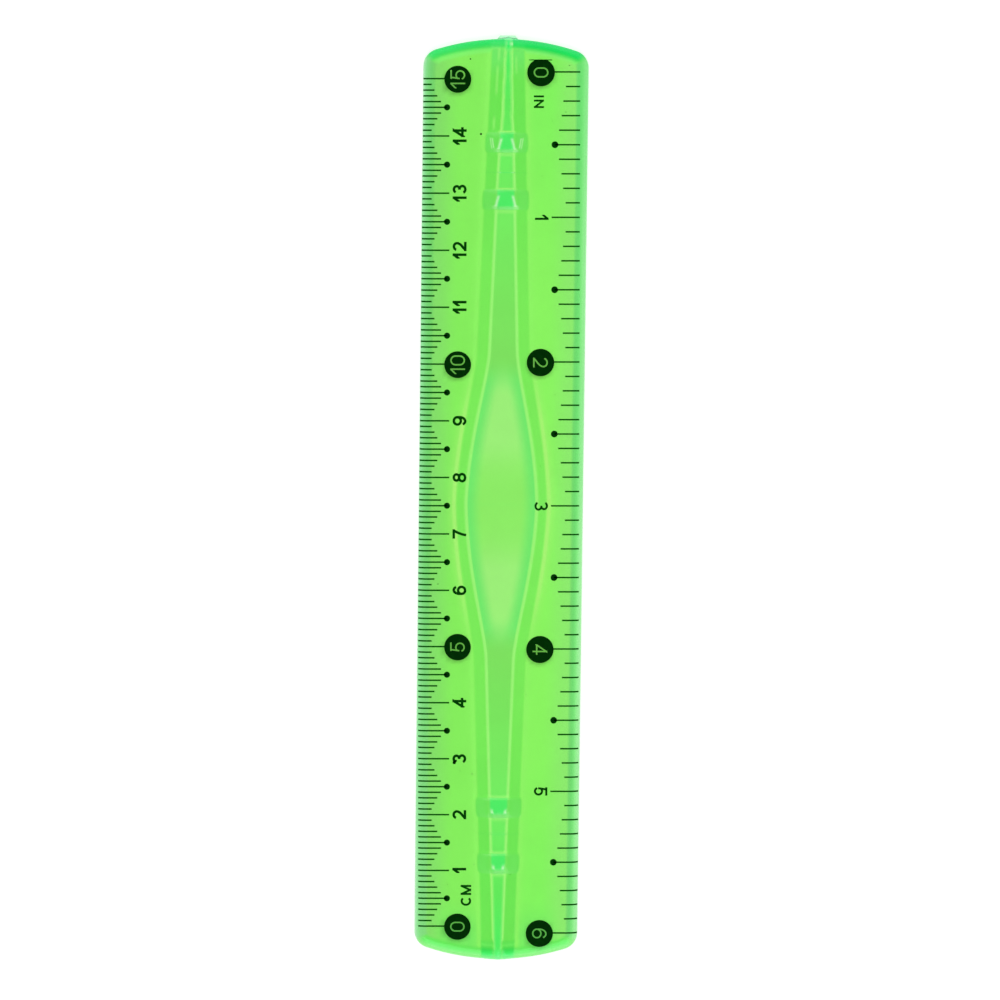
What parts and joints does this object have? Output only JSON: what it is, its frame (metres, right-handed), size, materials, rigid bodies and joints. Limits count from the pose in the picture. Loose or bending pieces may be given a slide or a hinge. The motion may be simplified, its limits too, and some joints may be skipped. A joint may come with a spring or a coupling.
{
  "type": "flexible ruler",
  "caption": "Soft clear plastic strip with a raised spine, thumb pad and bowed ends; it measures in centimetres and inches and bends flatwise.",
  "frame": {"origin": "middle of the bounding box's underside", "axes": "+Y along the ruler to its 15 cm end, +X to the inch edge, +Z out of the printed face"},
  "size_m": [0.029, 0.1636, 0.0031],
  "materials": {
    "green_plastic": "clear soft green plastic, glossy, with dark green printing on the top face"
  },
  "bodies": {
    "length_00cm": {"strip_00cm": "green_plastic"},
    "length_01cm": {"strip_01cm": "green_plastic"},
    "length_02cm": {"strip_02cm": "green_plastic"},
    "length_03cm": {"strip_03cm": "green_plastic"},
    "length_04cm": {"strip_04cm": "green_plastic"},
    "length_05cm": {"strip_05cm": "green_plastic"},
    "length_06cm": {"strip_06cm": "green_plastic"},
    "length_07cm": {"strip_07cm": "green_plastic"},
    "length_08cm": {"strip_08cm": "green_plastic"},
    "length_09cm": {"strip_09cm": "green_plastic"},
    "length_10cm": {"strip_10cm": "green_plastic"},
    "length_11cm": {"strip_11cm": "green_plastic"},
    "length_12cm": {"strip_12cm": "green_plastic"},
    "length_13cm": {"strip_13cm": "green_plastic"},
    "length_14cm": {"strip_14cm": "green_plastic"},
    "length_15cm": {"strip_15cm": "green_plastic"}
  },
  "joints": [
    {"name": "flex_00_5cm", "type": "hinge", "parent": "length_01cm", "child": "length_00cm", "pos_m": [0, -0.07075, 0.0014], "axis": [-1, 0, 0], "range_deg": [-20, 20], "stiffness_Nm_per_rad": 0.06},
    {"name": "flex_01_5cm", "type": "hinge", "parent": "length_02cm", "child": "length_01cm", "pos_m": [0, -0.06075, 0.0014], "axis": [-1, 0, 0], "range_deg": [-20, 20], "stiffness_Nm_per_rad": 0.06},
    {"name": "flex_02_5cm", "type": "hinge", "parent": "length_03cm", "child": "length_02cm", "pos_m": [0, -0.05075, 0.0014], "axis": [-1, 0, 0], "range_deg": [-20, 20], "stiffness_Nm_per_rad": 0.06},
    {"name": "flex_03_5cm", "type": "hinge", "parent": "length_04cm", "child": "length_03cm", "pos_m": [0, -0.04075, 0.0014], "axis": [-1, 0, 0], "range_deg": [-20, 20], "stiffness_Nm_per_rad": 0.06},
    {"name": "flex_04_5cm", "type": "hinge", "parent": "length_05cm", "child": "length_04cm", "pos_m": [0, -0.03075, 0.0014], "axis": [-1, 0, 0], "range_deg": [-20, 20], "stiffness_Nm_per_rad": 0.06},
    {"name": "flex_05_5cm", "type": "hinge", "parent": "length_06cm", "child": "length_05cm", "pos_m": [0, -0.02075, 0.0014], "axis": [-1, 0, 0], "range_deg": [-20, 20], "stiffness_Nm_per_rad": 0.06},
    {"name": "flex_06_5cm", "type": "hinge", "parent": "length_07cm", "child": "length_06cm", "pos_m": [0, -0.01075, 0.0014], "axis": [-1, 0, 0], "range_deg": [-20, 20], "stiffness_Nm_per_rad": 0.06},
    {"name": "flex_07_5cm", "type": "hinge", "parent": "length_07cm", "child": "length_08cm", "pos_m": [0, -0.00075, 0.0014], "axis": [1, 0, 0], "range_deg": [-20, 20], "stiffness_Nm_per_rad": 0.06},
    {"name": "flex_08_5cm", "type": "hinge", "parent": "length_08cm", "child": "length_09cm", "pos_m": [0, 0.00925, 0.0014], "axis": [1, 0, 0], "range_deg": [-20, 20], "stiffness_Nm_per_rad": 0.06},
    {"name": "flex_09_5cm", "type": "hinge", "parent": "length_09cm", "child": "length_10cm", "pos_m": [0, 0.01925, 0.0014], "axis": [1, 0, 0], "range_deg": [-20, 20], "stiffness_Nm_per_rad": 0.06},
    {"name": "flex_10_5cm", "type": "hinge", "parent": "length_10cm", "child": "length_11cm", "pos_m": [0, 0.02925, 0.0014], "axis": [1, 0, 0], "range_deg": [-20, 20], "stiffness_Nm_per_rad": 0.06},
    {"name": "flex_11_5cm", "type": "hinge", "parent": "length_11cm", "child": "length_12cm", "pos_m": [0, 0.03925, 0.0014], "axis": [1, 0, 0], "range_deg": [-20, 20], "stiffness_Nm_per_rad": 0.06},
    {"name": "flex_12_5cm", "type": "hinge", "parent": "length_12cm", "child": "length_13cm", "pos_m": [0, 0.04925, 0.0014], "axis": [1, 0, 0], "range_deg": [-20, 20], "stiffness_Nm_per_rad": 0.06},
    {"name": "flex_13_5cm", "type": "hinge", "parent": "length_13cm", "child": "length_14cm", "pos_m": [0, 0.05925, 0.0014], "axis": [1, 0, 0], "range_deg": [-20, 20], "stiffness_Nm_per_rad": 0.06},
    {"name": "flex_14_5cm", "type": "hinge", "parent": "length_14cm", "child": "length_15cm", "pos_m": [0, 0.06925, 0.0014], "axis": [1, 0, 0], "range_deg": [-20, 20], "stiffness_Nm_per_rad": 0.06}
  ]
}
